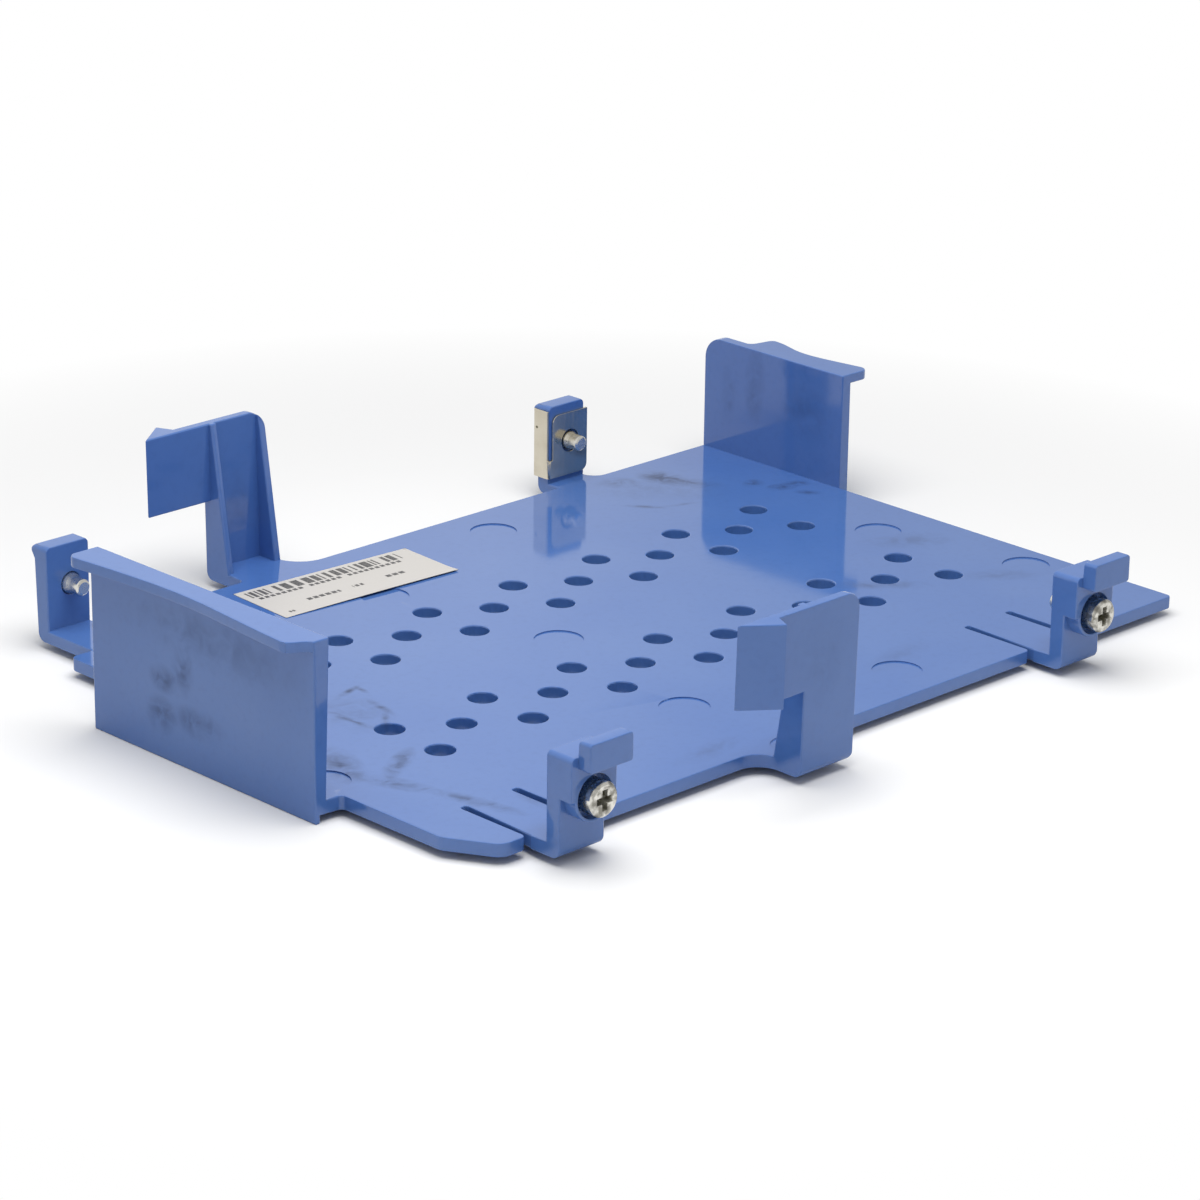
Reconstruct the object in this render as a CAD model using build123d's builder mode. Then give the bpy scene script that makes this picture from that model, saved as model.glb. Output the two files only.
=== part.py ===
from build123d import *
import os

os.makedirs("parts", exist_ok=True)

# A snap-in caddy for a 3.5 inch drive. +X runs along the drive, +Y to the far side, +Z up.
# The origin is on the floor's underside, midway between the four drive pins' stations.

# The drive, and the room that the caddy leaves round it
drive_width = 101.6
hole_span = 101.6
hole_from_left_end = 16.0
hole_from_right_end = 28.5
hole_height = 6.35
drive_lift = 0.25
left_clearance = 0.2
right_clearance = 0.45
near_clearance = 2.7
far_clearance = 1.2

# Screws whose pins enter the drive's side holes
pin_length = 3.1
pin_diameter = 2.5
pin_chamfer = 0.3
cone_length = 1.35
shank_diameter = 3.3
shank_clearance = 0.05
head_diameter = 5.0
head_height = 3.2
head_edge = 0.35
recess_width = 0.95
recess_span = 2.9
recess_depth = 1.2
recess_taper = 12

# The floor. Its -X edge stands in from the left wall, and more so on the far side
floor_thickness = 2.0
floor_near = 50.5
floor_near_right = 49.9
floor_far = 49.5
left_step_near = 2.7
left_step_far = 7.8
corner_cut_x = 4.3
corner_cut_y = 7.5
corner_round = 2.5
notch_round = 0.8
far_corner_step = 7.7
far_corner_round = 1.2
far_fillet = 2.5

# Vent holes, in two bands of three rows. The middle row's holes lie between the others
vent_diameter = 4.3
vent_pitch = 17.6
vent_row_length = 105.6
vent_row_step = 5.2
vent_band_y = 15.5
vent_centre_x = 9.0

# End walls
wall_thickness = 2.0
left_wall_half = 23.65
left_wall_height = 23.0
left_wall_draft = 0.7
right_wall_length = 30.9
right_wall_height = 19.0
right_wall_round = 3.6
skirt_drop = 1.1
skirt_thickness = 0.9

# Finger lips along the walls' tops. An edge swells out from its root and draws in at a waist
lip_thickness = 1.6
lip_round = 1.5
lip_root_lean = -0.3
lip_crest_lean = 0.05
lip_end_lean = -0.12
left_lip_reach = 3.0
left_lip_waist = 1.3
left_lip_swell = 3.4
left_lip_overrun = 1.6
right_lip_reach = 4.4
right_lip_waist = 3.2
right_lip_swell = 2.6
right_lip_start = 7.8

# Pin posts, set out from their pins' axes
post_left = 4.4
near_post_right = 3.9
far_post_right = 3.4
near_wall = 2.5
far_wall_foot = 2.5
far_wall_top = 2.9
post_height = 12.9
post_round = 0.8
foot_round = 1.4
block_depth = 4.7
boss_diameter = 7.2
counterbore_diameter = 6.2
counterbore_depth = 1.4
cap_reach = 0.7
cap_height = 2.2
cap_round = 0.9

# Thumb flags on the near posts
flag_left = 3.2
flag_right = 4.6
flag_bottom = 11.1
flag_top = 15.2
flag_thickness = 2.3
flag_round = 0.5

# Slots that let the near posts spring. The -X one narrows towards its mouth
slot_root = 37.6
slot_left_outer = 4.85
slot_left_root = 3.7
slot_left_mouth = 4.2
slot_right_inner = 4.45
slot_right_outer = 5.6
slot_round = 0.4
slot_mouth_round = 1.0

# Latch arms, set out from the floor's edges
arm_width = 10.5
arm_web = 1.6
arm_height = 23.2
arm_lean = 0.5
arm_flange = 1.2
arm_foot_depth = 5.2
arm_tip_depth = 2.1
arm_round = 2.6
arm_foot_round = 1.2
arm_notch_round = 1.0
near_arm_left = -11.75
near_arm_reach = 7.9
near_arm_flare = 3.6
far_arm_left = -20.0
far_arm_reach = 8.9
far_arm_flare = 5.0
latch_length = 12.2
latch_bottom = 10.9
barb_run = 5.4
barb_rise = 2.6
barb_back = 1.2

# Steel contact clip on one far post
clip_thickness = 0.4
clip_bottom = 0.8
clip_top = 11.4
clip_wing_top = 12.2
clip_plate_half = 3.85
clip_bridge = 3.1
clip_bend = 0.6
clip_corner = 1.3
clip_hole_diameter = 3.8
clip_hook_length = 1.2
clip_hook_gap = 0.1

# Paper label on the floor
label_length = 33.0
label_width = 13.1
label_thickness = 0.1
label_x = -8.9
label_from_edge = 11.0
label_turn = -3.3

# Places worked out from the sizes above
floor_top = floor_thickness
pin_x = hole_span / 2
pin_z = floor_top + drive_lift + hole_height
right_wall_inner = pin_x + hole_from_right_end + right_clearance
left_wall_inner = pin_x + hole_from_left_end + left_clearance
left_wall_outer = left_wall_inner + wall_thickness
near_post_face = drive_width / 2 + near_clearance
far_post_face = drive_width / 2 + far_clearance
post_top = floor_top + post_height
near_seat = block_depth - counterbore_depth
far_seat = far_wall_top - counterbore_depth
near_arm_outer = floor_near + near_arm_reach
far_arm_outer = floor_far + far_arm_reach
arm_top = floor_top + arm_height
skirt_bottom = -skirt_drop


def wall_lip(depth, reach, waist, swell, start, length):
    """Plan outline of a finger lip: x outwards from the wall's inner face, y along the wall."""
    with BuildSketch(mode=Mode.PRIVATE) as lip:
        with BuildLine():
            inner = Line((0, start), (0, length))
            end = Line(inner @ 1, (depth + reach, length))
            long_edge = Spline(
                end @ 1,
                (depth + waist, length / 2),
                (depth + reach, start + swell),
                tangents=[(lip_end_lean, -1), (lip_crest_lean, -1)],
            )
            Spline(
                long_edge @ 1,
                (depth, start),
                tangents=[(lip_crest_lean, -1), (lip_root_lean, -1)],
            )
            Line((depth, start), (0, start))
        make_face()
        fillet(lip.vertices().sort_by_distance(end @ 1)[0], lip_round)
    return lip.sketch


# Left end wall, on the -X side. Its inner face leans out by the draft towards the top, and the
# lip is set flush with that face at the lip's own underside
lip_underside_draft = left_wall_draft * (1 - lip_thickness / left_wall_height)
with BuildPart() as left_wall:
    with BuildSketch(Plane.XZ.offset(-left_wall_half)):
        with BuildLine():
            Polyline(
                (-left_wall_inner, 0),
                (-left_wall_outer + skirt_thickness, 0),
                (-left_wall_outer + skirt_thickness, skirt_bottom),
                (-left_wall_outer, skirt_bottom),
                (-left_wall_outer, floor_top + left_wall_height),
                (-left_wall_inner + left_wall_draft, floor_top + left_wall_height),
                (-left_wall_inner, floor_top),
                close=True,
            )
        make_face()
    extrude(amount=2 * left_wall_half)

with BuildPart() as left_lip:
    with BuildSketch(Plane.XY.offset(floor_top + left_wall_height - lip_thickness)):
        with Locations(Location((-left_wall_inner + lip_underside_draft, -left_wall_half, 0))):
            add(
                wall_lip(
                    wall_thickness + lip_underside_draft,
                    left_lip_reach,
                    left_lip_waist,
                    left_lip_swell,
                    0,
                    2 * left_wall_half + left_lip_overrun,
                ).mirror(Plane.YZ)
            )
    extrude(amount=lip_thickness)

# Right end wall, at the far corner, with its lip's S-curve at the far end
with BuildPart() as right_wall:
    with BuildSketch(Plane.YZ.offset(right_wall_inner)) as right_face:
        with Locations((floor_far, skirt_bottom)):
            Rectangle(
                right_wall_length,
                skirt_drop + floor_top + right_wall_height,
                align=(Align.MAX, Align.MIN),
            )
        fillet(right_face.vertices().group_by(Axis.Y)[-1].sort_by(Axis.X)[-1], right_wall_round)
    extrude(amount=wall_thickness)
    with BuildSketch(Plane.XZ.offset(-floor_far)):
        with Locations((right_wall_inner, skirt_bottom)):
            Rectangle(
                wall_thickness - skirt_thickness,
                skirt_drop,
                align=(Align.MIN, Align.MIN),
            )
    extrude(amount=right_wall_length, mode=Mode.SUBTRACT)

with BuildPart() as right_lip:
    with BuildSketch(Plane.XY.offset(floor_top + right_wall_height - lip_thickness)):
        with Locations(Location((right_wall_inner, floor_far, 0))):
            add(
                wall_lip(
                    wall_thickness,
                    right_lip_reach,
                    right_lip_waist,
                    right_lip_swell,
                    right_lip_start,
                    right_wall_length,
                ).mirror(Plane.XZ)
            )
    extrude(amount=lip_thickness)


def post_outline(right):
    """Front outline of a post, x from its pin's axis, with its two top corners rounded."""
    with BuildSketch(mode=Mode.PRIVATE) as outline:
        with Locations((-post_left, 0)):
            Rectangle(post_left + right, post_top, align=(Align.MIN, Align.MIN))
        fillet(outline.vertices().group_by(Axis.Y)[-1], post_round)
    return outline.sketch


# Both kinds of post are made in a frame of their own: inner face on y = 0, outwards along
# +Y, pin axis over x = 0
with BuildPart() as near_post:
    with BuildSketch(Plane.YZ.offset(-post_left)) as near_section:
        Rectangle(near_wall, post_top, align=(Align.MIN, Align.MIN))
        fillet(near_section.vertices().sort_by_distance((near_wall, 0))[0], foot_round)
    extrude(amount=post_left + near_post_right)
    # The screw's boss is round below the pin and square above it
    with BuildSketch(Plane.XZ):
        with Locations((0, pin_z)):
            Circle(boss_diameter / 2)
        with Locations((-post_left, pin_z)):
            Rectangle(
                post_left + near_post_right,
                post_top - pin_z,
                align=(Align.MIN, Align.MIN),
            )
    extrude(amount=-block_depth)
    with BuildSketch(Plane.XZ):
        add(post_outline(near_post_right))
    extrude(amount=-block_depth, mode=Mode.INTERSECT)
    with BuildSketch(Plane.XZ.offset(-block_depth)) as flag:
        with Locations((-flag_left, floor_top + flag_bottom)):
            Rectangle(
                flag_left + flag_right,
                flag_top - flag_bottom,
                align=(Align.MIN, Align.MIN),
            )
        fillet(flag.vertices(), flag_round)
    extrude(amount=-flag_thickness)
    with BuildSketch(Plane.XZ.offset(-near_seat)):
        with Locations((0, pin_z)):
            Circle(counterbore_diameter / 2)
    extrude(amount=-counterbore_depth, mode=Mode.SUBTRACT)
    with BuildSketch(Plane.XZ):
        with Locations((0, pin_z)):
            Circle(shank_diameter / 2 + shank_clearance)
    extrude(amount=-near_seat, mode=Mode.SUBTRACT)

with BuildPart() as far_post:
    with BuildSketch(Plane.YZ.offset(-post_left)) as far_section:
        with BuildLine():
            Polyline(
                (0, 0),
                (far_wall_foot, 0),
                (far_wall_top, post_top - cap_height),
                (far_wall_top + cap_reach, post_top - cap_height / 2),
                (far_wall_top + cap_reach, post_top),
                (0, post_top),
                close=True,
            )
        make_face()
        fillet(far_section.vertices().sort_by_distance((far_wall_foot, 0))[0], foot_round)
        cap_corner = (far_wall_top + cap_reach, post_top)
        fillet(far_section.vertices().sort_by_distance(cap_corner)[0], cap_round)
    extrude(amount=post_left + far_post_right)
    with BuildSketch(Plane.XZ):
        add(post_outline(far_post_right))
    extrude(amount=-(far_wall_top + cap_reach), mode=Mode.INTERSECT)
    with BuildSketch(Plane.XZ.offset(-far_seat)):
        with Locations((0, pin_z)):
            Circle(counterbore_diameter / 2)
    extrude(amount=-counterbore_depth, mode=Mode.SUBTRACT)
    with BuildSketch(Plane.XZ):
        with Locations((0, pin_z)):
            Circle(shank_diameter / 2 + shank_clearance)
    extrude(amount=-far_seat, mode=Mode.SUBTRACT)


def arm_outer_at(z):
    """How far the leaning outer face of an arm stands out at height z, from y = 0 at z = 0."""
    return arm_lean * z / arm_top


def latch_arm(rounded_foot):
    """A latch arm in its own frame: outer face through y = z = 0, inwards along -Y, x from 0."""
    latch_z = floor_top + latch_bottom
    latch_y = arm_outer_at(latch_z)
    latch_rise = Vector(0, arm_lean - latch_y, arm_top - latch_z)
    with BuildPart() as arm:
        with BuildSketch(Plane.YZ) as side:
            with BuildLine():
                Polyline(
                    (0, 0),
                    (arm_lean, arm_top),
                    (arm_lean - arm_tip_depth, arm_top),
                    (-arm_foot_depth, floor_top),
                    (-arm_foot_depth, 0),
                    close=True,
                )
            make_face()
            fillet(side.vertices().sort_by_distance((0, 0))[0], foot_round)
        extrude(amount=arm_width)
        with BuildSketch(Plane.XZ) as front:
            Rectangle(arm_width, arm_top, align=(Align.MIN, Align.MIN))
            fillet(front.vertices().sort_by_distance((arm_width, arm_top))[0], arm_round)
            if rounded_foot:
                fillet(front.vertices().sort_by_distance((arm_width, 0))[0], arm_foot_round)
        extrude(amount=arm_foot_depth + arm_lean, both=True, mode=Mode.INTERSECT)
        with BuildSketch(Plane.YZ.offset(arm_flange)):
            with BuildLine():
                Polyline(
                    (arm_outer_at(floor_top) - arm_web, floor_top),
                    (arm_lean - arm_web, arm_top),
                    (-arm_foot_depth, arm_top),
                    (-arm_foot_depth, floor_top),
                    close=True,
                )
            make_face()
        extrude(amount=arm_width - 2 * arm_flange, mode=Mode.SUBTRACT)
        with BuildSketch(Plane.XY.offset(latch_z)):
            with BuildLine():
                Polyline(
                    (0, latch_y),
                    (0, latch_y - arm_web),
                    (-latch_length, latch_y - arm_web),
                    (-latch_length + barb_run, latch_y + barb_rise),
                    (-latch_length + barb_run + barb_back, latch_y),
                    close=True,
                )
            make_face()
        extrude(amount=latch_rise.length, dir=latch_rise)
    return arm.part


far_arm = latch_arm(rounded_foot=False)
near_arm = latch_arm(rounded_foot=True).mirror(Plane.XZ)

# The tray is one moulding: floor, end walls, posts and latch arms
with BuildPart() as tray:
    with BuildSketch() as floor:
        floor_left_near = -left_wall_inner + left_step_near
        floor_left_far = -left_wall_inner + left_step_far
        far_corner_y = floor_far - far_corner_step
        with BuildLine():
            Polyline(
                (-left_wall_inner, -left_wall_half),
                (floor_left_near, -left_wall_half),
                (floor_left_near, -floor_near + corner_cut_y),
                (floor_left_near + corner_cut_x, -floor_near),
                (pin_x, -floor_near),
                (pin_x, -floor_near_right),
                (right_wall_inner, -floor_near_right),
                (right_wall_inner, floor_far),
                (-pin_x - post_left, floor_far),
                (-pin_x - post_left, far_corner_y),
                (floor_left_far, far_corner_y),
                (floor_left_far, left_wall_half),
                (-left_wall_inner, left_wall_half),
                close=True,
            )
        make_face()
        # Tabs that carry the four posts
        for x in (-pin_x, pin_x):
            with Locations((x - post_left, 0)):
                Rectangle(
                    post_left + near_post_right,
                    near_post_face,
                    align=(Align.MIN, Align.MAX),
                )
                Rectangle(
                    post_left + far_post_right,
                    far_post_face + far_wall_foot - foot_round,
                    align=(Align.MIN, Align.MIN),
                )
        # Tabs that carry the latch arms and run on under them. The near arm's stops short at
        # the foot's rounded corner. One side of each meets the floor's edge in a wide flare
        with Locations((near_arm_left, 0)):
            Rectangle(arm_width, near_arm_outer - arm_foot_depth, align=(Align.MIN, Align.MAX))
            Rectangle(
                arm_width - arm_foot_round,
                near_arm_outer - foot_round,
                align=(Align.MIN, Align.MAX),
            )
        with Locations((far_arm_left, 0)):
            Rectangle(arm_width, far_arm_outer - foot_round, align=(Align.MIN, Align.MIN))
        for corner, radius in (
            ((near_arm_left, -floor_near), near_arm_flare),
            ((near_arm_left + arm_width, -floor_near), arm_notch_round),
            ((far_arm_left, floor_far), arm_notch_round),
            ((far_arm_left + arm_width, floor_far), far_arm_flare),
            ((floor_left_near, -floor_near + corner_cut_y), corner_round),
            ((floor_left_near + corner_cut_x, -floor_near), corner_round),
            ((floor_left_near, -left_wall_half), notch_round),
            ((floor_left_far, left_wall_half), notch_round),
            ((floor_left_far, far_corner_y), far_corner_round),
            ((right_wall_inner, -floor_near_right), notch_round),
            ((pin_x + far_post_right, floor_far), far_fillet),
        ):
            fillet(floor.vertices().sort_by_distance(corner)[0], radius)
        # Slots beside the near posts, with the floor's corners rounded at their mouths
        with BuildSketch(mode=Mode.PRIVATE) as slots:
            with BuildLine():
                Polyline(
                    (-slot_left_outer, -slot_root),
                    (-slot_left_root, -slot_root),
                    (-slot_left_mouth, -floor_near),
                    (-slot_left_outer, -floor_near),
                    close=True,
                )
            make_face()
            with Locations((slot_right_inner, -slot_root)):
                Rectangle(
                    slot_right_outer - slot_right_inner,
                    floor_near - slot_root,
                    align=(Align.MIN, Align.MAX),
                )
            fillet(slots.vertices().group_by(Axis.Y)[-1], slot_round)
        with Locations((-pin_x, 0), (pin_x, 0)):
            add(slots.sketch, mode=Mode.SUBTRACT)
        for mouth in (
            (-pin_x - slot_left_outer, -floor_near),
            (-pin_x + slot_right_outer, -floor_near),
            (pin_x - slot_left_outer, -floor_near),
            (pin_x + slot_right_outer, -floor_near_right),
        ):
            fillet(floor.vertices().sort_by_distance(mouth)[0], slot_mouth_round)
        # Vent holes
        vent_steps = round(vent_row_length / vent_pitch)
        for band in (-1, 1):
            for row in (-1, 0, 1):
                count = vent_steps if row == 0 else vent_steps + 1
                with Locations((vent_centre_x, band * vent_band_y + row * vent_row_step)):
                    with GridLocations(vent_pitch, 1, count, 1):
                        Circle(vent_diameter / 2, mode=Mode.SUBTRACT)
    extrude(amount=floor_thickness)
    add(left_wall.part)
    add(left_lip.part)
    add(right_wall.part)
    add(right_lip.part)
    for x in (-pin_x, pin_x):
        with Locations((x, -near_post_face, 0)):
            add(near_post.part.mirror(Plane.XZ))
        with Locations((x, far_post_face, 0)):
            add(far_post.part)
    with Locations((near_arm_left, -near_arm_outer, 0)):
        add(near_arm)
    with Locations((far_arm_left, far_arm_outer, 0)):
        add(far_arm)
tray.part.label = "tray"
export_step(tray.part, "parts/tray.step")


def pin_screw(seat):
    """A pin screw in its post's frame. Its head bears on y = seat, its pin reaches past y = 0."""
    head_face = seat + head_height
    with BuildPart() as screw:
        with BuildSketch():
            with BuildLine():
                Polyline(
                    (0, -pin_length),
                    (pin_diameter / 2 - pin_chamfer, -pin_length),
                    (pin_diameter / 2, -pin_length + pin_chamfer),
                    (pin_diameter / 2, -cone_length),
                    (shank_diameter / 2, 0),
                    (shank_diameter / 2, seat),
                    (head_diameter / 2, seat),
                    (head_diameter / 2, head_face - head_edge),
                    (head_diameter / 2 - head_edge, head_face),
                    (0, head_face),
                    close=True,
                )
            make_face()
        revolve(axis=Axis.Y)
        with BuildSketch(Plane.XZ.offset(-head_face)):
            Rectangle(recess_span, recess_width)
            Rectangle(recess_width, recess_span)
        extrude(amount=recess_depth, taper=recess_taper, mode=Mode.SUBTRACT)
    return screw.part.move(Location((0, 0, pin_z)))


for end, x in (("left", -pin_x), ("right", pin_x)):
    for side in ("near", "far"):
        with BuildPart() as screw:
            if side == "near":
                with Locations((x, -near_post_face, 0)):
                    add(pin_screw(near_seat).mirror(Plane.XZ))
            else:
                with Locations((x, far_post_face, 0)):
                    add(pin_screw(far_seat))
        screw.part.label = f"pin_screw_{side}_{end}"
        export_step(screw.part, f"parts/{screw.part.label}.step")

# The contact clip is one strip of spring steel. It lies on the far right post's inner face,
# folds on to the post's -X side and hooks round behind it. The pin passes through it.
clip_left = pin_x - post_left - clip_thickness
clip_back = far_post_face + far_wall_top + clip_hook_gap
clip_bottom_z = floor_top + clip_bottom
with BuildPart() as clip:
    with BuildSketch(Plane.XY.offset(clip_bottom_z)) as fold:
        with BuildLine():
            Polyline(
                (pin_x + clip_plate_half, far_post_face),
                (pin_x + clip_plate_half, far_post_face - clip_thickness),
                (clip_left, far_post_face - clip_thickness),
                (clip_left, clip_back + clip_thickness),
                (clip_left + clip_thickness + clip_hook_length, clip_back + clip_thickness),
                (clip_left + clip_thickness + clip_hook_length, clip_back),
                (clip_left + clip_thickness, clip_back),
                (clip_left + clip_thickness, far_post_face),
                close=True,
            )
        make_face()
        for bend_y in (far_post_face - clip_thickness, clip_back + clip_thickness):
            fillet(fold.vertices().sort_by_distance((clip_left, bend_y))[0], clip_bend)
    extrude(amount=clip_wing_top - clip_bottom)
    # The hook stops under the post's cap
    with BuildSketch(Plane.XY.offset(post_top - cap_height - clip_hook_gap)):
        with Locations((clip_left + clip_thickness, clip_back)):
            Rectangle(clip_hook_length, clip_thickness, align=(Align.MIN, Align.MIN))
    extrude(amount=cap_height + clip_wing_top, mode=Mode.SUBTRACT)
    # Above the bridge the fold is cut away, between the plate's edge and the wing
    with BuildSketch(Plane.XZ.offset(-far_post_face)):
        with Locations((clip_left, clip_bottom_z + clip_bridge)):
            Rectangle(
                pin_x - clip_plate_half - clip_left,
                clip_wing_top,
                align=(Align.MIN, Align.MIN),
            )
        with Locations((clip_left, floor_top + clip_top)):
            Rectangle(
                pin_x + clip_plate_half - clip_left,
                clip_wing_top,
                align=(Align.MIN, Align.MIN),
            )
        with Locations((pin_x, pin_z)):
            Circle(clip_hole_diameter / 2)
    extrude(amount=clip_thickness, mode=Mode.SUBTRACT)
    plate_corners = clip.edges().filter_by(Axis.Y).filter_by_position(
        Axis.Y, far_post_face - clip_thickness, far_post_face
    )
    for corner in (
        (pin_x + clip_plate_half, far_post_face, clip_bottom_z),
        (pin_x - clip_plate_half, far_post_face, floor_top + clip_top),
    ):
        fillet(plate_corners.sort_by_distance(corner)[0], clip_corner)
clip.part.label = "contact_clip"
export_step(clip.part, "parts/contact_clip.step")

# The paper label lies on the floor, a little askew
with BuildPart() as label:
    with BuildSketch(Plane.XY.offset(floor_top)):
        with Locations(Location((label_x, floor_far - label_from_edge, 0), (0, 0, label_turn))):
            Rectangle(label_length, label_width)
    extrude(amount=label_thickness)
label.part.label = "label"
export_step(label.part, "parts/label.step")
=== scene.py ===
# %% [markdown]
# # A drive caddy of blue plastic
# The object is a snap-in caddy for a 3.5 inch drive. One glossy blue moulding carries four
# plated pin screws, one folded spring clip and one paper label. The shapes come ready from
# the CAD frame, at real size. This script rounds their edges as a mould and a press do,
# gives each piece its finish, and lights them softly on a pale floor.

from math import pi, radians

import bmesh
import bpy
from mathutils import Matrix, Vector


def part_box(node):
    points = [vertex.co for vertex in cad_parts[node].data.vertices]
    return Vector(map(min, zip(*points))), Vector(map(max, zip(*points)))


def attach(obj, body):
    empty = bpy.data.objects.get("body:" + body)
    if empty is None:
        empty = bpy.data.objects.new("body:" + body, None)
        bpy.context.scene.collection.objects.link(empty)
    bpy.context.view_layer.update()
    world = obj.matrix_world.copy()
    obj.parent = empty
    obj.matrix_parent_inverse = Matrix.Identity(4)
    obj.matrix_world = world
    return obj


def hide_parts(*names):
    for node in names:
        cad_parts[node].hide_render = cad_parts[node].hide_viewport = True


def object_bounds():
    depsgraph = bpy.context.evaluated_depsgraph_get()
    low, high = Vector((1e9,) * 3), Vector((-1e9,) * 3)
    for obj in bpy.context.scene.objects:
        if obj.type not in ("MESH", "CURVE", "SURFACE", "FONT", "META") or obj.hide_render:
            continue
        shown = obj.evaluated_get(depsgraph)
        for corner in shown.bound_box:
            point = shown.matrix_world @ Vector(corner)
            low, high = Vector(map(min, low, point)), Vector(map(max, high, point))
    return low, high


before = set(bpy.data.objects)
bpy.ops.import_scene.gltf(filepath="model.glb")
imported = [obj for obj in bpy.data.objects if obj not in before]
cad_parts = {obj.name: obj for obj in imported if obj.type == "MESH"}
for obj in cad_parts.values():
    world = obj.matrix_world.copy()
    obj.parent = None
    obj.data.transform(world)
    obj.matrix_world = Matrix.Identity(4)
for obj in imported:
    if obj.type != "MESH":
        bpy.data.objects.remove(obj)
cad_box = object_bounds()
MM = 0.001
print("nodes:", ", ".join(sorted(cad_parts)))

# %% [markdown]
# ## The camera
# The viewpoint was solved from edges of the caddy whose real sizes are known. The lens is
# long and the camera stands about 64 cm away, so the perspective is gentle. The camera
# looks from the near left corner, 20 degrees down. The picture is square, and a sensor
# 36 mm wide behind this lens gives its whole width.

# %% Place the camera
CAMERA_PLACE = Vector((-0.41413, -0.42568, 0.22506))
CAMERA_TILT = 69.88
CAMERA_ROLL = -0.76
CAMERA_TURN = -44.42
LENS = 129.31
SENSOR_WIDTH = 36

camera_data = bpy.data.cameras.new("camera")
camera_data.lens = LENS
camera_data.sensor_width = SENSOR_WIDTH
camera = bpy.data.objects.new("camera", camera_data)
bpy.context.scene.collection.objects.link(camera)
camera.location = CAMERA_PLACE
camera.rotation_euler = (radians(CAMERA_TILT), radians(CAMERA_ROLL), radians(CAMERA_TURN))
bpy.context.scene.camera = camera
print("camera:", round(CAMERA_PLACE.length, 3), "m from the origin")

# %% [markdown]
# ## Small helpers for node trees
# A finish is a tree of nodes. Adding a node, setting its properties and joining its sockets
# takes many lines, so a few helpers say it in one. A socket of another node and a plain
# value are both fed the same way, which keeps each finish below short enough to read. Noise
# gathers round a half and seldom comes near 0 or 1, so each finish stretches the middle of
# its noise with remap before it uses it.

# %% Helpers that build a finish
def new_finish(name):
    """A material, its tree, its shader, and the place on the object that its nodes read."""
    material = bpy.data.materials.new(name)
    material.use_nodes = True
    tree = material.node_tree
    place = tree.nodes.new("ShaderNodeTexCoord").outputs["Object"]
    return material, tree, tree.nodes["Principled BSDF"], place


def feed(socket, value):
    """Join another node's socket to this one, or set this one's own value."""
    if isinstance(value, bpy.types.NodeSocket):
        socket.id_data.links.new(value, socket)
    else:
        socket.default_value = value


def add(tree, kind, inputs, output=0, **settings):
    """Add a node, set it up, feed its inputs, and return one of its outputs."""
    made = tree.nodes.new("ShaderNode" + kind)
    for name, value in settings.items():
        setattr(made, name, value)
    for name, value in inputs.items():
        feed(made.inputs[name], value)
    return made.outputs[output]


print("made new_finish, feed and add")

# %% Helpers that work out numbers and colours
def math(tree, operation, *values):
    """A Math node with its inputs in order."""
    return add(tree, "Math", dict(enumerate(values)), operation=operation)


def axes(tree, vector):
    """The X, Y and Z of a vector."""
    split = tree.nodes.new("ShaderNodeSeparateXYZ")
    feed(split.inputs["Vector"], vector)
    return split.outputs


def remap(tree, value, low, high, to_low=0.0, to_high=1.0):
    """Stretch the range from low to high on to another range, and hold it there."""
    inputs = {"Value": value, "From Min": low, "From Max": high, "To Min": to_low, "To Max": to_high}
    return add(tree, "MapRange", inputs)


def mix_colors(tree, factor, first, second):
    """Blend from the first colour to the second as the factor goes from 0 to 1."""
    mixer = tree.nodes.new("ShaderNodeMix")
    mixer.data_type = "RGBA"
    sockets = [s for s in mixer.inputs if s.enabled]
    for socket, value in zip(sockets, (factor, first, second)):
        feed(socket, value)
    return [s for s in mixer.outputs if s.enabled][0]


def noise(tree, place, scale, detail, distortion=0.0):
    """Cloudy noise. A larger scale makes smaller clouds."""
    inputs = {"Vector": place, "Scale": scale, "Detail": detail, "Distortion": distortion}
    return add(tree, "TexNoise", inputs)


def add_bump(tree, shader, height, strength, depth):
    """Let a pattern of heights, up to depth in millimetres, tilt the surface."""
    bump = add(tree, "Bump", {"Height": height, "Strength": strength, "Distance": depth * MM})
    feed(shader.inputs["Normal"], bump)


print("made math, axes, remap, mix_colors, noise and add_bump")

# %% [markdown]
# ## The floor
# The caddy was shown on white. A wide pale floor gives that ground and keeps a soft shadow.
# Lit by the same light as the caddy it would come out light grey, and more light would
# bleach the caddy, so the floor turns to plain white once it is clear of the shadow. That
# white is for the camera and for mirrored rays only, which Light Path tells apart, so the
# gloss mirrors it and it throws no other light on the caddy. The two reaches are distances
# from the origin, in metres: the white starts at the first and is full at the second.

# %% Lay the floor
FLOOR_SIZE = 6.0

floor_mesh = bpy.data.meshes.new("floor")
floor_shape = bmesh.new()
bmesh.ops.create_grid(floor_shape, x_segments=1, y_segments=1, size=FLOOR_SIZE / 2)
bmesh.ops.translate(floor_shape, verts=floor_shape.verts, vec=(0, 0, cad_box[0][2]))
floor_shape.to_mesh(floor_mesh)
floor_shape.free()
floor = bpy.data.objects.new("floor", floor_mesh)
bpy.context.scene.collection.objects.link(floor)
print("floor:", FLOOR_SIZE, "m wide")

# %% Finish of the floor
WHITE = (1, 1, 1, 1)
FLOOR_WHITE = 0.80
FLOOR_ROUGHNESS = 0.9
FLOOR_SPECULAR = 0.2
SHADOW_REACH = 0.09
WHITE_REACH = 0.17

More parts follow.
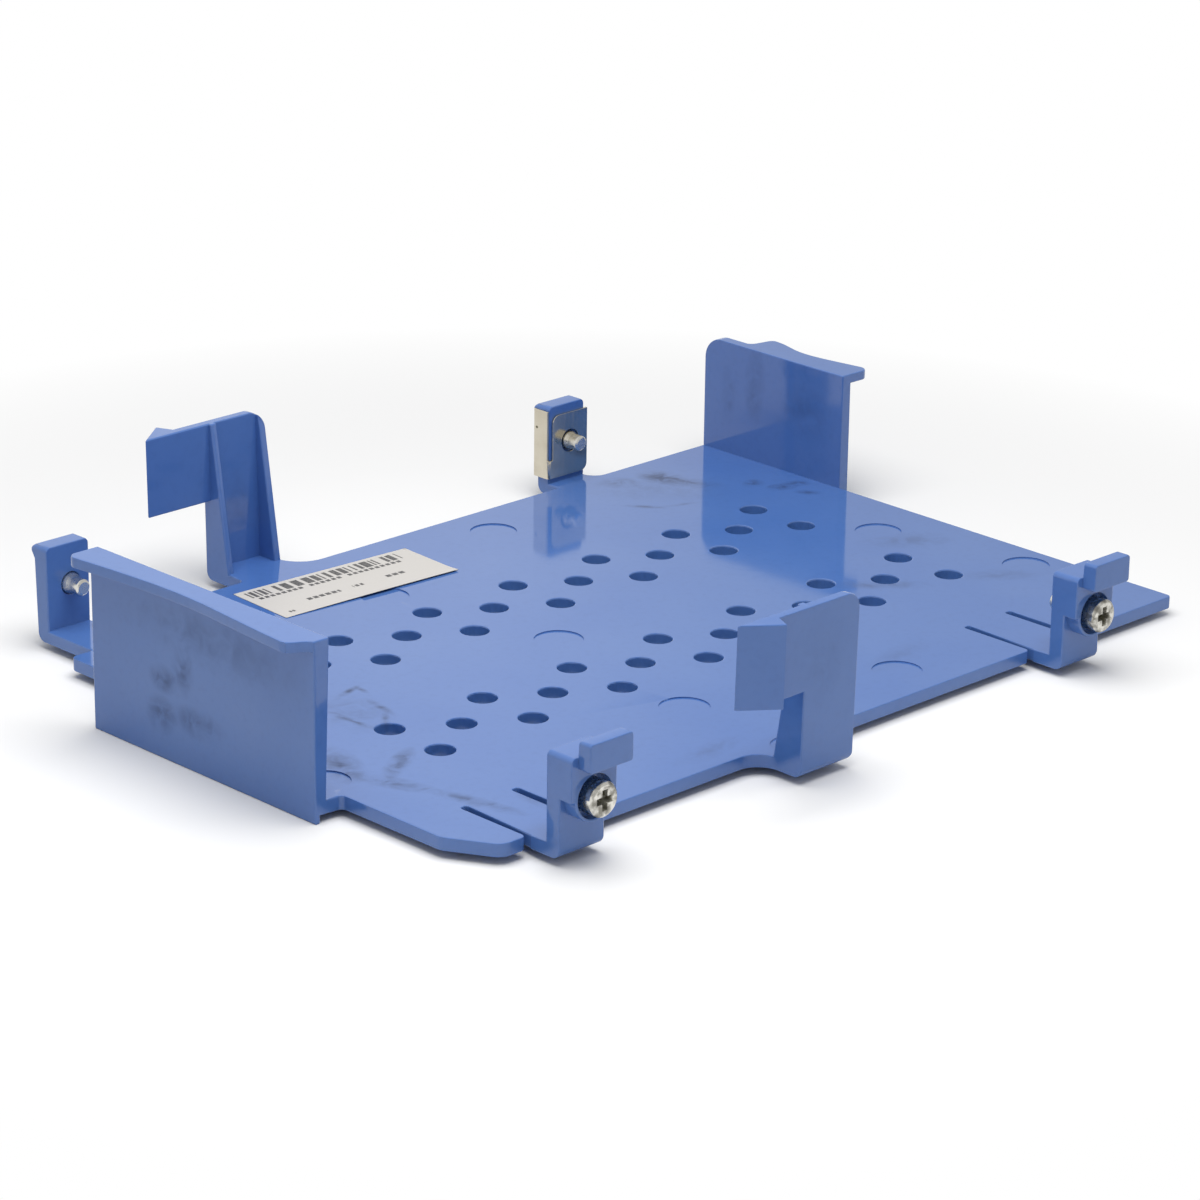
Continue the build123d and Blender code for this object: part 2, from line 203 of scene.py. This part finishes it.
floor_finish, floor_tree, floor_shader, floor_place = new_finish("white_floor")
floor_shader.inputs["Base Color"].default_value = (FLOOR_WHITE, FLOOR_WHITE, FLOOR_WHITE, 1)
floor_shader.inputs["Roughness"].default_value = FLOOR_ROUGHNESS
floor_shader.inputs["Specular IOR Level"].default_value = FLOOR_SPECULAR
floor_rays = floor_tree.nodes.new("ShaderNodeLightPath").outputs
reach = add(floor_tree, "VectorMath", {0: floor_place}, output=1, operation="LENGTH")
clear_of_shadow = remap(floor_tree, reach, SHADOW_REACH, WHITE_REACH)
floor_seen = math(floor_tree, "MAXIMUM", floor_rays["Is Glossy Ray"], floor_rays["Is Camera Ray"])
whitened = math(floor_tree, "MULTIPLY", clear_of_shadow, floor_seen)
plain_white = add(floor_tree, "Emission", {"Color": WHITE, "Strength": 1.0})
floor_blend = {0: whitened, 1: floor_shader.outputs["BSDF"], 2: plain_white}
floor_surface = add(floor_tree, "MixShader", floor_blend)
feed(floor_tree.nodes["Material Output"].inputs["Surface"], floor_surface)
floor_mesh.materials.append(floor_finish)
print(floor_finish.name, "is plain white from", WHITE_REACH, "m out")

# %% [markdown]
# ## The light
# The tray's floor is half as bright again as its upright walls, and its middle is brighter
# than its ends, so most of the light falls from above: one square lamp hangs 28 cm up, a
# little to the camera's side of the middle, and an even world fills in at about half
# strength. A new lamp points straight down, so it is placed and not turned. Glossy plastic
# and metal also need something to mirror. To a mirrored ray the world is white, and a third
# dimmer on the right of the camera's view.

# %% Fill in with the world
WORLD_STRENGTH = 0.47
WORLD_SEEN = 1.0
DIM_SIDE = Vector((0.707, -0.707, 0))
DIM_BORDER = (-0.03, 0.04)
DIM_SHARE = 0.65

world = bpy.data.worlds.new("white_room")
world.use_nodes = True
bpy.context.scene.world = world
world_tree = world.node_tree
background = world_tree.nodes["Background"]
background.inputs["Color"].default_value = WHITE
rays = world_tree.nodes.new("ShaderNodeLightPath").outputs
towards = world_tree.nodes.new("ShaderNodeTexCoord").outputs["Generated"]
sideways = add(world_tree, "VectorMath", {0: towards, 1: DIM_SIDE}, output=1, operation="DOT_PRODUCT")
mirrored = remap(world_tree, sideways, *DIM_BORDER, WORLD_SEEN, DIM_SHARE * WORLD_SEEN)
lit = remap(world_tree, rays["Is Camera Ray"], 0, 1, WORLD_STRENGTH, WORLD_SEEN)
not_glossy = math(world_tree, "SUBTRACT", 1.0, rays["Is Glossy Ray"])
unmirrored = math(world_tree, "MULTIPLY", lit, not_glossy)
strength = math(world_tree, "MULTIPLY_ADD", mirrored, rays["Is Glossy Ray"], unmirrored)
feed(background.inputs["Strength"], strength)
print(world.name, "fills in at", WORLD_STRENGTH)

# %% Hang the lamp
KEY_POWER = 0.98
KEY_SIZE = 0.26
KEY_PLACE = Vector((-0.04, -0.04, 0.28))

key_data = bpy.data.lights.new("key", "AREA")
key_data.shape = "SQUARE"
key_data.size = KEY_SIZE
key_data.energy = KEY_POWER
key = bpy.data.objects.new("key", key_data)
key.location = KEY_PLACE
key.visible_camera = False
key.visible_glossy = False
bpy.context.scene.collection.objects.link(key)
bpy.context.scene.view_settings.view_transform = "Standard"
print(key.name, "lamp:", KEY_POWER, "W,", KEY_SIZE, "m wide")

# %% [markdown]
# ## Smudges and painted shade on the plastic
# This caddy has been handled: grey smears lie on its floor and walls, each a few millimetres
# long, with ragged ends. One long band high on the left wall's outer face is painted shade,
# not a smear: the soft shadow under the wall's lip, put into the blue like the smears. A
# smear or the band is made from a soft ball of shade, squashed flat to its size and turned
# along it. A Mapping node in texture mode does the squashing, so the sizes below are the
# patches' own. Noise then breaks the ball up. The places are on the object itself, in
# millimetres, so the smears and the band stay where they are in every view. The label lies
# on the tray's floor, so the lowest point of its box is the floor's top face.

# %% Where the smudges are
floor_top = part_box("label")[0][2]
FLOOR_SMUDGE_DEPTH = 1.5

# Place along X and along Y, half length, half width, turn about Z and strength
FLOOR_SMUDGES = (
    (55.2, 44.6, 4.0, 3.0, -42, 0.50),
    (62.3, 42.0, 5.0, 3.6, -80, 0.85),
    (64.4, 36.4, 5.0, 2.4, -70, 0.55),
    (50.0, 33.2, 4.5, 0.9, -50, 0.55),
    (54.4, 30.4, 5.0, 0.7, -20, 0.55),
    (58.0, 38.0, 13.0, 7.0, -45, 0.25),
    (71.4, 29.8, 2.4, 2.0, 20, 0.70),
    (73.4, 25.4, 3.0, 2.0, -20, 0.95),
    (76.6, 25.0, 2.6, 1.6, -40, 0.65),
    (74.6, 20.6, 2.6, 1.4, -50, 0.55),
    (50.4, -16.8, 9.0, 2.2, -42, 0.45),
    (68.8, -6.0, 9.0, 4.0, -30, 0.30),
    (67.4, -26.2, 8.0, 3.0, -35, 0.25),
    (30.0, -39.0, 9.0, 3.0, 10, 0.20),
    (-17.0, -46.0, 8.0, 2.4, 8, 0.25),
    (-6.0, -50.5, 5.0, 2.0, 20, 0.40),
    (-39.2, 4.1, 3.8, 0.8, 17, 0.95),
    (-36.8, 3.6, 2.0, 0.7, 83, 0.75),
    (-39.2, -3.0, 4.2, 0.9, 80, 0.60),
    (-45.7, -4.0, 5.5, 1.0, -86, 0.75),
    (-42.5, -8.0, 4.5, 0.8, 50, 0.55),
    (-43.5, -2.0, 9.0, 6.0, 70, 0.30),
    (-51.3, -20.5, 6.5, 1.9, 32, 0.95),
    (-57.5, -15.5, 7.5, 3.4, 66, 0.70),
    (-56.5, -25.0, 8.0, 2.2, -70, 0.75),
    (-52.8, -37.5, 9.0, 1.7, -76, 0.70),
    (-46.3, -44.0, 6.0, 1.8, 92, 0.50),
)

# Centre, half sizes along X, Y and Z, and strength
WALL_SMUDGES_AND_SHADE = (
    ((-69.0, 8.0, 10.8), (1.5, 3.4, 2.4), 0.62),
    ((-69.0, 3.8, 13.0), (1.5, 2.6, 4.2), 0.60),
    ((-69.0, 8.6, 5.4), (1.5, 3.6, 3.2), 0.55),
    ((-69.0, 1.0, 6.2), (1.5, 7.0, 2.6), 0.50),
    # Painted shade, not a smear: the lip's soft shadow along the left wall's upper outer face
    ((-69.0, -2.0, 19.0), (1.5, 22.0, 4.5), 0.30),
    ((79.75, 38.0, 15.0), (1.5, 2.6, 7.5), 0.40),
    ((79.75, 44.0, 12.0), (1.5, 2.0, 6.0), 0.30),
    ((79.75, 27.0, 13.0), (1.5, 8.0, 5.0), 0.22),
    ((-9.0, -58.8, 17.0), (6.0, 1.5, 8.0), 0.16),
    ((-14.5, 56.0, 12.0), (3.0, 2.5, 6.0), 0.35),
    ((-13.0, 53.5, 4.0), (3.5, 2.0, 2.5), 0.35),
)
print("smudges:", len(FLOOR_SMUDGES), "on the floor,", len(WALL_SMUDGES_AND_SHADE), "on the walls")

# %% Helpers for smudges and painted shade
def soft_patch(tree, place, centre, half_sizes, turn, strength):
    """A soft patch of shade on the object, 0 outside it."""
    inputs = {
        "Vector": place,
        "Location": [c * MM for c in centre],
        "Rotation": (0, 0, radians(turn)),
        "Scale": [s * MM for s in half_sizes],
    }
    local = add(tree, "Mapping", inputs, vector_type="TEXTURE")
    ball = add(tree, "TexGradient", {"Vector": local}, output=1, gradient_type="SPHERICAL")
    return math(tree, "MULTIPLY", ball, strength)


def smudges_and_shade(tree, place):
    """The smudges of the floor and of the walls, with the painted shade under the left lip, added up.
    """
    marks = 0.0
    for x, y, half_length, half_width, turn, strength in FLOOR_SMUDGES:
        centre = (x, y, floor_top / MM)
        half_sizes = (half_length, half_width, FLOOR_SMUDGE_DEPTH)
        marks = math(tree, "ADD", marks, soft_patch(tree, place, centre, half_sizes, turn, strength))
    for centre, half_sizes, strength in WALL_SMUDGES_AND_SHADE:
        marks = math(tree, "ADD", marks, soft_patch(tree, place, centre, half_sizes, 0, strength))
    return marks


print("the floor's top face is at", round(floor_top / MM, 3), "mm")

# %% [markdown]
# ## The blue plastic
# The moulding is glossy and mid blue all through. Three things keep it from looking like flat
# paint. Cloudy noise makes the blue a shade lighter and darker over a few centimetres. The
# smudges grey it and dull its gloss, and so does a thin film of dust in fine mottled noise;
# the band of painted shade under the left wall's lip greys and dulls it the same way. Where
# the real surface is uneven by hundredths of a millimetre, a faint bump does the same to the
# mirrored walls. Grime and the painted shade add to the roughness and take from the specular
# level.

# %% Finish of the blue plastic
BLUE = (0.058, 0.141, 0.398, 1)
BLUE_PALE = (0.070, 0.155, 0.408, 1)
# Grey of the smudges and the dust, also used for the painted shade under the left wall's lip
GRIME_AND_SHADE = (0.036, 0.064, 0.155, 1)
PLASTIC_IOR = 1.58
CLOUD_SCALE = 38.0
DUST_SCALE = 900.0
SMEAR_SCALE = 330.0
UNEVEN_SCALE = 160.0
DUST_SHARE = 0.09
CLEAN_ROUGHNESS = (0.06, 0.10)
GRIME_AND_SHADE_ROUGHNESS = 0.15
CLEAN_SPECULAR = 0.5
GRIME_AND_SHADE_SPECULAR = -0.4


def blue_plastic():
    """The moulding's blue, with smudges, painted shade under the left lip, dust and faintly uneven
    gloss.
    """
    material, tree, shader, place = new_finish("blue_plastic_moulded")
    clouds = noise(tree, place, CLOUD_SCALE, detail=3.0)
    mottle = noise(tree, place, DUST_SCALE, detail=4.0)
    smears = noise(tree, place, SMEAR_SCALE, detail=5.0, distortion=0.8)
    uneven = noise(tree, place, UNEVEN_SCALE, detail=2.0)

    ragged = remap(tree, smears, 0.36, 0.64, 0.25, 1.5)
    marks = math(tree, "MULTIPLY", smudges_and_shade(tree, place), ragged)
    film = remap(tree, mottle, 0.50, 0.75, 0.0, DUST_SHARE)
    # The smudges, the painted shade under the left wall's lip and the dust film, as one mask
    grime_and_shade = add(tree, "Clamp", {"Value": math(tree, "ADD", marks, film)})

    clean = mix_colors(tree, remap(tree, clouds, 0.35, 0.65), BLUE, BLUE_PALE)
    feed(shader.inputs["Base Color"], mix_colors(tree, grime_and_shade, clean, GRIME_AND_SHADE))
    gloss = remap(tree, clouds, 0.3, 0.7, *CLEAN_ROUGHNESS)
    feed(shader.inputs["Roughness"], math(tree, "MULTIPLY_ADD", grime_and_shade, GRIME_AND_SHADE_ROUGHNESS, gloss))
    specular = math(tree, "MULTIPLY_ADD", grime_and_shade, GRIME_AND_SHADE_SPECULAR, CLEAN_SPECULAR)
    feed(shader.inputs["Specular IOR Level"], specular)
    shader.inputs["IOR"].default_value = PLASTIC_IOR
    add_bump(tree, shader, uneven, strength=0.20, depth=0.05)
    return material


blue = blue_plastic()
print(blue.name, len(blue.node_tree.nodes), "nodes")

# %% [markdown]
# ## Plated steel of the screws
# The screws are nickel plated. Their heads are worn to a warm grey in patches, with dark
# grease in the cross recesses, and their pins are bright. The grease follows depth: it is
# measured along the screw's own axis, inwards from the head's face, and out from that axis.
# Turning marks are rings round the axis, too fine to count, and roughen the metal a little.

# %% Finish of the plated steel
NICKEL = (0.70, 0.685, 0.63, 1)
NICKEL_DULL = (0.25, 0.24, 0.21, 1)
GREASE = (0.095, 0.088, 0.05, 1)
GREASE_DEPTHS = (0.10, 0.45)
GREASE_RADII = (1.75, 1.575)
HEAD_DEPTHS = (1.6, 1.4)
WEAR_SCALE = 900.0
STAIN_SHARES = (0.5, 0.95)
NICKEL_ROUGHNESS = (0.14, 0.34)
GREASE_ROUGHNESS = 0.3
RING_PITCH = 0.12
SCREWS = sorted(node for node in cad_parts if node.startswith("pin_screw"))


def fade(tree, value, from_to):
    """0 at the first of two sizes in millimetres, 1 at the second."""
    return remap(tree, value, from_to[0] * MM, from_to[1] * MM)


def plated_steel(node):
    """Plated steel for one screw, whose axis runs along Y through the middle of its box."""
    low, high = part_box(node)
    axis_x = (low[0] + high[0]) / 2
    axis_z = (low[2] + high[2]) / 2
    face_y, outwards = (low[1], -1) if "near" in node else (high[1], 1)

    material, tree, shader, place = new_finish(node + "_steel")
    x, y, z = axes(tree, place)
    across = math(tree, "SUBTRACT", x, axis_x)
    above = math(tree, "SUBTRACT", z, axis_z)
    squares = math(tree, "ADD", math(tree, "POWER", across, 2), math(tree, "POWER", above, 2))
    radius = math(tree, "SQRT", squares)
    depth = math(tree, "MULTIPLY", math(tree, "SUBTRACT", face_y, y), outwards)

    in_head = fade(tree, depth, HEAD_DEPTHS)
    in_recess = fade(tree, depth, GREASE_DEPTHS)
    near_axis = fade(tree, radius, GREASE_RADII)
    grease = math(tree, "MULTIPLY", math(tree, "MULTIPLY", in_recess, near_axis), in_head)
    wear = noise(tree, place, WEAR_SCALE, detail=4.0)
    worn = math(tree, "MULTIPLY", remap(tree, wear, 0.40, 0.60), in_head)
    stain = math(tree, "MULTIPLY", grease, remap(tree, wear, 0.35, 0.65, *STAIN_SHARES))

    color = mix_colors(tree, worn, NICKEL, NICKEL_DULL)
    feed(shader.inputs["Base Color"], mix_colors(tree, stain, color, GREASE))
    feed(shader.inputs["Metallic"], math(tree, "SUBTRACT", 1.0, stain))
    rough = remap(tree, wear, 0.35, 0.65, *NICKEL_ROUGHNESS)
    feed(shader.inputs["Roughness"], math(tree, "MULTIPLY_ADD", stain, GREASE_ROUGHNESS, rough))
    rings = math(tree, "SINE", math(tree, "MULTIPLY", radius, 2 * pi / (RING_PITCH * MM)))
    add_bump(tree, shader, rings, strength=0.15, depth=0.01)
    return material


steels = {node: plated_steel(node) for node in SCREWS}
print("finishes:", ", ".join(steel.name for steel in steels.values()))

# %% [markdown]
# ## Bright steel of the contact clip
# The clip is cut from bright rolled strip. Its flat faces mirror the plastic and the white
# room almost cleanly. Rolling leaves faint lines along the strip, and one small dark pit
# shows on its outer wing. The lines run upright here, so their noise is drawn out along Z.

# %% Finish of the spring steel
STRIP = (0.65, 0.605, 0.50, 1)
STRIP_DULL = (0.56, 0.51, 0.41, 1)
STRIP_ROUGHNESS = (0.10, 0.20)
LINE_SCALES = (1800, 1800, 60)
TARNISH_SCALE = 260.0
PIT_PLACE = (46.0, 54.4, 11.2)
PIT_SIZE = (0.6, 0.34, 0.30)


def spring_steel():
    """Bright rolled strip with faint lines and one pit."""
    material, tree, shader, place = new_finish("spring_steel_clip")
    drawn_out = add(tree, "Mapping", {"Vector": place, "Scale": LINE_SCALES})
    lines = noise(tree, drawn_out, 1.0, detail=3.0)
    tarnish = noise(tree, place, TARNISH_SCALE, detail=3.0)
    pit = remap(tree, soft_patch(tree, place, PIT_PLACE, PIT_SIZE, 0, 1.0), 0.1, 0.5)

    color = mix_colors(tree, remap(tree, tarnish, 0.35, 0.7), STRIP, STRIP_DULL)
    feed(shader.inputs["Base Color"], mix_colors(tree, pit, color, GREASE))
    shader.inputs["Metallic"].default_value = 1
    feed(shader.inputs["Roughness"], remap(tree, lines, 0.3, 0.7, *STRIP_ROUGHNESS))
    add_bump(tree, shader, lines, strength=0.10, depth=0.01)
    return material


clip_steel = spring_steel()
print(clip_steel.name, len(clip_steel.node_tree.nodes), "nodes")

# %% [markdown]
# ## The printed paper label
# The label is off-white coated paper with black print. The print here is generic: a band of
# bars of uneven width along the far edge, and rows of plain dashes. All of it is worked out
# from the label's own place and turn, so that it follows the label's edges. A bar or a dash
# is a cell of a row, and a number drawn for each cell says whether it is inked.

# %% The label's place and its rows of print
LABEL_TURN = -3.3
LABEL_HALF_LENGTH = 16.5
LABEL_HALF_WIDTH = 6.55

# Start, end, lower edge, upper edge, cell, inked part of a cell, inked share of the cells
PRINT_ROWS = (
    (-15.6, 13.5, 3.2, 5.7, 0.34, 1.0, 0.58),
    (-15.0, 12.5, 2.0, 2.8, 1.05, 0.70, 0.94),
    (-9.5, -3.0, -2.7, -1.8, 1.15, 0.74, 0.95),
    (-0.5, 1.5, -2.5, -1.7, 0.95, 0.66, 1.00),
    (4.0, 9.8, -2.2, -1.3, 1.25, 0.74, 0.95),
    (-14.6, -13.6, -5.2, -4.5, 1.00, 0.80, 1.00),
)

label_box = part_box("label")
label_centre = (Vector(label_box[0]) + Vector(label_box[1])) / 2
label_top = label_box[1][2]
print("label:", len(PRINT_ROWS), "rows of print, round", [round(c / MM, 1) for c in label_centre])

# %% Helpers for the print
ROW_SEED = 7.0


def band(tree, value, low, high):
    """1 where the value lies between low and high, else 0."""
    above = math(tree, "GREATER_THAN", value, low)
    return math(tree, "MULTIPLY", above, math(tree, "LESS_THAN", value, high))


def print_row(tree, along, across, row):
    """Ink of one row: cells along it, each inked or not, within the row's own rectangle."""
    start, end, low, high, cell, fill, share = row
    cells = math(tree, "DIVIDE", along, cell)
    number = math(tree, "ADD", math(tree, "FLOOR", cells), high * ROW_SEED)
    drawn = add(tree, "TexWhiteNoise", {"W": number}, noise_dimensions="1D")
    inked = math(tree, "LESS_THAN", drawn, share)
    part = math(tree, "LESS_THAN", math(tree, "FRACT", cells), fill)
    ink = math(tree, "MULTIPLY", inked, part)
    inside = math(tree, "MULTIPLY", band(tree, along, start, end), band(tree, across, low, high))
    return math(tree, "MULTIPLY", ink, inside)


print("made band and print_row")

# %% Finish of the label
PAPER = (0.545, 0.525, 0.50, 1)
PAPER_FLECK = (0.45, 0.42, 0.37, 1)
INK = (0.03, 0.03, 0.033, 1)
INK_SHARES = (0.75, 0.95)
FLECK_SHARE = 0.10
PAPER_ROUGHNESS = 0.55
FIBRE_SCALE = 3.0


def label_paper():
    """Printed paper. Its patterns are in millimetres from the label's middle."""
    material, tree, shader, place = new_finish("label_paper_printed")
    inputs = {
        "Vector": place,
        "Location": label_centre,
        "Rotation": (0, 0, radians(LABEL_TURN)),
        "Scale": (MM, MM, MM),
    }
    local = add(tree, "Mapping", inputs, vector_type="TEXTURE")
    along, across = axes(tree, local)[:2]
    ink = 0.0
    for row in PRINT_ROWS:
        ink = math(tree, "ADD", ink, print_row(tree, along, across, row))
    fibres = noise(tree, local, FIBRE_SCALE, detail=5.0)
    ink = math(tree, "MULTIPLY", ink, remap(tree, fibres, 0.3, 0.6, *INK_SHARES))
    paper = mix_colors(tree, remap(tree, fibres, 0.3, 0.7, 0.0, FLECK_SHARE), PAPER, PAPER_FLECK)
    feed(shader.inputs["Base Color"], mix_colors(tree, ink, paper, INK))
    shader.inputs["Roughness"].default_value = PAPER_ROUGHNESS
    add_bump(tree, shader, fibres, strength=0.1, depth=0.02)
    return material


printed_paper = label_paper()
print(printed_paper.name, len(printed_paper.node_tree.nodes), "nodes")

# %% [markdown]
# ## Copies with rounded edges
# A CAD solid has knife-sharp edges, and a moulding never has: its edges are rounded by a few
# tenths of a millimetre, and those thin rounds carry most of the highlights. So each hard
# node is copied, its triangles are merged back into whole faces, and the outer edges that
# turn by more than 35 degrees are bevelled. Inner corners stay as they are: bevelled too,
# they folded over the outer rounds at the arms' feet and left black wedges. A Weighted
# Normal modifier then lets each large face keep its flat shading right up to its rounds.

# %% Helpers for rounded copies
SAME_POINT = 0.001
FLAT_TURN = radians(0.5)
SHARP_TURN = radians(35)
SHADED_TURN = radians(32)
ROUND_STEPS = 2
FLAT_WEIGHT = 100


def merged_copy(mesh):
    """A bmesh of a mesh, with its loose triangles merged into whole faces."""
    shape = bmesh.new()
    shape.from_mesh(mesh)
    bmesh.ops.remove_doubles(shape, verts=shape.verts, dist=SAME_POINT * MM)
    bmesh.ops.dissolve_limit(
        shape, angle_limit=FLAT_TURN, verts=shape.verts, edges=shape.edges
    )
    return shape


def round_edges(shape, edge_round, kept=lambda edge: False):
    """Bevel every sharp outer edge that isn't to be kept, and count them."""
    sharp = [
        edge for edge in shape.edges
        if edge.is_convex and edge.calc_face_angle(0) > SHARP_TURN and not kept(edge)
    ]
    bmesh.ops.bevel(
        shape, geom=sharp, offset=edge_round * MM, offset_type="OFFSET", affect="EDGES",
        segments=ROUND_STEPS, profile=0.5, material=-1, clamp_overlap=False,
    )
    return len(sharp)


def new_piece(name, shape):
    """An object from a bmesh, smooth but for its sharp turns."""
    mesh = bpy.data.meshes.new(name)
    shape.to_mesh(mesh)
    shape.free()
    mesh.shade_smooth()
    mesh.set_sharp_from_angle(angle=SHADED_TURN)
    piece = bpy.data.objects.new(name, mesh)
    bpy.context.scene.collection.objects.link(piece)
    return piece


def finish_piece(piece, node, material):
    """Keep flat faces flat, give the piece its finish, and let it stand for its node."""
    flat = piece.modifiers.new("flat_faces", "WEIGHTED_NORMAL")
    flat.weight = FLAT_WEIGHT
    flat.keep_sharp = True
    piece.data.materials.clear()
    piece.data.materials.append(material)
    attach(piece, "root")
    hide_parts(node)
    print(piece.name, len(piece.data.polygons), "faces")


print("made merged_copy, round_edges, new_piece and finish_piece")

# %% [markdown]
# ## The tray and its ejector marks
# Pins push a moulding out of its mould, and each leaves a shallow round mark in the floor. A
# mark is 7.4 mm across and a fifth of a millimetre deep, so all that shows is a thin
# crescent on its far side. The marks are cut with one Boolean: all the discs are one cutter,
# and half of each disc is in the floor. The disc beside the near arm stops at the arm's
# foot, so it is made first and cut while it is alone in the bmesh.

# %% Cut the ejector marks
MARK_RADIUS = 3.7
MARK_DEPTH = 0.18
MARK_SIDES = 64
MARKS = (
    (-1.9, -0.6), (-7.5, -32.0), (23.9, 41.0), (-8.5, 30.3),
    (-62.8, -18.3), (68.8, 0.2), (73.9, -25.9), (25.4, -42.7),
)
ARM_MARK = (-6.4, -52.6)
ARM_FOOT_Y = -53.15


def add_mark_disc(shape, x, y):
    """A thin disc across the floor's top face."""
    bmesh.ops.create_cone(
        shape, cap_ends=True, segments=MARK_SIDES, radius1=MARK_RADIUS * MM,
        radius2=MARK_RADIUS * MM, depth=2 * MARK_DEPTH * MM,
        matrix=Matrix.Translation((x * MM, y * MM, floor_top)),
    )


cutter_shape = bmesh.new()
add_mark_disc(cutter_shape, *ARM_MARK)
whole_disc = cutter_shape.verts[:] + cutter_shape.edges[:] + cutter_shape.faces[:]
trimmed = bmesh.ops.bisect_plane(
    cutter_shape, geom=whole_disc, plane_co=(0, ARM_FOOT_Y * MM, 0),
    plane_no=(0, -1, 0), clear_outer=True,
)
open_edges = [part for part in trimmed["geom_cut"] if isinstance(part, bmesh.types.BMEdge)]
bmesh.ops.contextual_create(cutter_shape, geom=open_edges)
for x, y in MARKS:
    add_mark_disc(cutter_shape, x, y)
cutter = new_piece("mark_cutter", cutter_shape)

uncut_tray = new_piece("uncut_tray", merged_copy(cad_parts["tray"].data))
cut = uncut_tray.modifiers.new("marks", "BOOLEAN")
cut.object = cutter
cut.operation = "DIFFERENCE"
cut.solver = "EXACT"
evaluated = uncut_tray.evaluated_get(bpy.context.evaluated_depsgraph_get())
marked_mesh = bpy.data.meshes.new_from_object(evaluated)
bpy.data.objects.remove(uncut_tray)
bpy.data.objects.remove(cutter)
print("tray with", len(MARKS) + 1, "marks:", len(marked_mesh.polygons), "faces")

# %% [markdown]
# ## The tray's rounds
# The marks' own rims stay sharp, because the marks are shallower than the rounds are wide.
# The lower rims of the vent holes stay sharp too, as the flash side of a moulded hole does.
# An edge is told by its middle: the lower rims lie in the floor's bottom face, inside the
# rectangle that the vents fill, and a mark's edges lie close to its centre and to the
# floor's top face.

# %% Round the tray's edges
TRAY_ROUND = 0.22
VENTS_REACH_X = 66
VENTS_REACH_Y = 26
SAME_LEVEL = 0.01


def in_a_mark(middle):
    """True for a point on the rim, the wall or the bottom of an ejector mark."""
    if not floor_top - 1.5 * MARK_DEPTH * MM < middle.z < floor_top + SAME_LEVEL * MM:
        return False
    return any(
        (middle.xy - Vector((x * MM, y * MM))).length < 1.02 * MARK_RADIUS * MM
        for x, y in MARKS + (ARM_MARK,)
    )


def on_a_lower_rim(middle):
    """True for a point on the lower rim of a vent hole."""
    among_vents = abs(middle.x) < VENTS_REACH_X * MM and abs(middle.y) < VENTS_REACH_Y * MM
    return among_vents and abs(middle.z) < SAME_LEVEL * MM


def stays_sharp(edge):
    """True for the edges that get no round."""
    middle = (edge.verts[0].co + edge.verts[1].co) / 2
    return on_a_lower_rim(middle) or in_a_mark(middle)


tray_shape = merged_copy(marked_mesh)
print("tray:", round_edges(tray_shape, TRAY_ROUND, stays_sharp), "edges rounded")
finish_piece(new_piece("tray_finished", tray_shape), "tray", blue)

# %% [markdown]
# ## The screws and the clip
# Turned and pressed metal has smaller rounds than a moulding, about a tenth of a millimetre.
# Each screw has a finish of its own, because its grease is measured from its own axis.

# %% Round and dress the metal pieces
SCREW_ROUND = 0.09
CLIP_ROUND = 0.07

for node in SCREWS:
    screw_shape = merged_copy(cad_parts[node].data)
    round_edges(screw_shape, SCREW_ROUND)
    finish_piece(new_piece(node + "_finished", screw_shape), node, steels[node])

clip_shape = merged_copy(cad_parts["contact_clip"].data)
round_edges(clip_shape, CLIP_ROUND)
clip = new_piece("contact_clip_finished", clip_shape)
finish_piece(clip, "contact_clip", clip_steel)

# %% [markdown]
# ## The label's lifted edge
# The label is stuck down, but its near edge has come up a little towards the right, and a
# dark line of shadow shows under it. A flat grid of the paper's size is turned into place,
# and the points near that edge are raised along a smooth curve, by 0.2 mm at most, four
# fifths of the way along. Solidify gives the sheet its thickness.

# %% Make the label
LABEL_CELLS = (44, 18)
LABEL_LIFT = 0.32
LIFT_PEAK = 0.8
LIFT_FROM_EDGE = 3.2
PAPER_THICKNESS = 0.07

label_shape = bmesh.new()
bmesh.ops.create_grid(label_shape, x_segments=LABEL_CELLS[0], y_segments=LABEL_CELLS[1], size=1)
half_sheet = (LABEL_HALF_LENGTH * MM, LABEL_HALF_WIDTH * MM, 1)
bmesh.ops.scale(label_shape, verts=label_shape.verts, vec=half_sheet)
for vert in label_shape.verts:
    from_edge = vert.co.y + LABEL_HALF_WIDTH * MM
    near_edge = max(0.0, 1 - from_edge / (LIFT_FROM_EDGE * MM)) ** 2
    towards_right = max(0.0, 0.5 + vert.co.x / (2 * LABEL_HALF_LENGTH * MM))
    vert.co.z = LABEL_LIFT * MM * near_edge * towards_right * (2 * LIFT_PEAK - towards_right)
turn = Matrix.Rotation(radians(LABEL_TURN), 4, "Z")
place = Matrix.Translation((label_centre.x, label_centre.y, label_top)) @ turn
bmesh.ops.transform(label_shape, matrix=place, verts=label_shape.verts)
label = new_piece("label_finished", label_shape)
paper_wall = label.modifiers.new("paper", "SOLIDIFY")
paper_wall.thickness = PAPER_THICKNESS * MM
paper_wall.offset = -1
finish_piece(label, "label", printed_paper)
